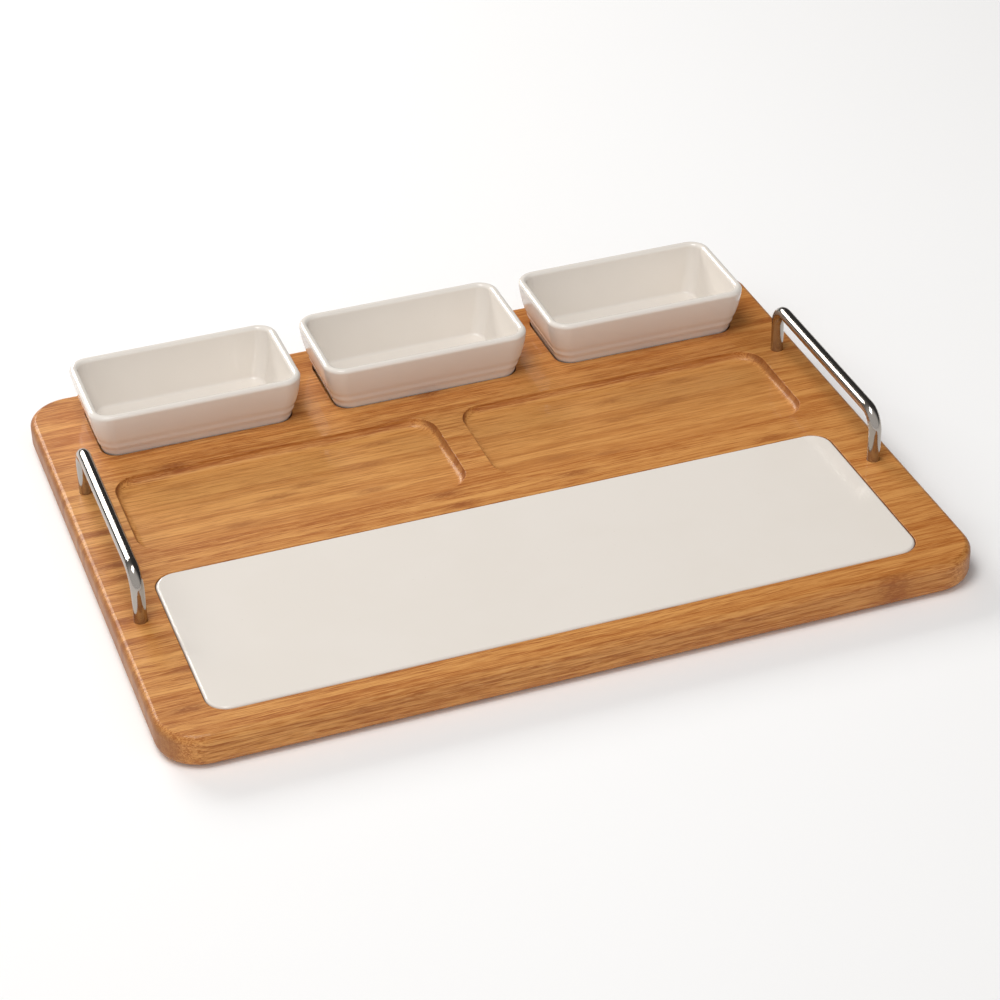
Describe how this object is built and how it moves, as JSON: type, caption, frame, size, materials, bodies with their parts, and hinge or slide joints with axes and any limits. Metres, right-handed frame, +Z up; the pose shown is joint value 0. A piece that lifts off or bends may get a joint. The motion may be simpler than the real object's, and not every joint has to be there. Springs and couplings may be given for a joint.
{
  "type": "chip and dip server",
  "caption": "Bamboo serving board with a long ceramic plate, loaf-shaped dip bowls in pockets, shallow compartments and bent-rod handles.",
  "frame": {"origin": "centre of the underside of the board, the face that rests on the table", "axes": "+X along the board's long side to the right, +Y towards the bowls at the back, +Z up"},
  "size_m": [0.46, 0.35, 0.0532],
  "materials": {
    "bamboo": "satin lacquer",
    "plate_glaze": "gloss",
    "bowl_glaze": "gloss",
    "handle_steel": "satin",
    "fastener_steel": "zinc plated"
  },
  "bodies": {
    "board": {"board": "bamboo", "handle_left": "handle_steel", "handle_right": "handle_steel", "washer_left_front": "fastener_steel", "screw_left_front": "fastener_steel", "washer_left_rear": "fastener_steel", "screw_left_rear": "fastener_steel", "washer_right_front": "fastener_steel", "screw_right_front": "fastener_steel", "washer_right_rear": "fastener_steel", "screw_right_rear": "fastener_steel"},
    "plate": {"plate": "plate_glaze"},
    "bowl_left": {"bowl_left": "bowl_glaze"},
    "bowl_middle": {"bowl_middle": "bowl_glaze"},
    "bowl_right": {"bowl_right": "bowl_glaze"}
  },
  "joints": [
    {"name": "plate_lift", "type": "slide", "parent": "board", "child": "plate", "axis": [0, 0, 1], "range_m": [0, 0.05]},
    {"name": "bowl_left_lift", "type": "slide", "parent": "board", "child": "bowl_left", "axis": [0, 0, 1], "range_m": [0, 0.08]},
    {"name": "bowl_middle_lift", "type": "slide", "parent": "board", "child": "bowl_middle", "axis": [0, 0, 1], "range_m": [0, 0.08]},
    {"name": "bowl_right_lift", "type": "slide", "parent": "board", "child": "bowl_right", "axis": [0, 0, 1], "range_m": [0, 0.08]}
  ]
}
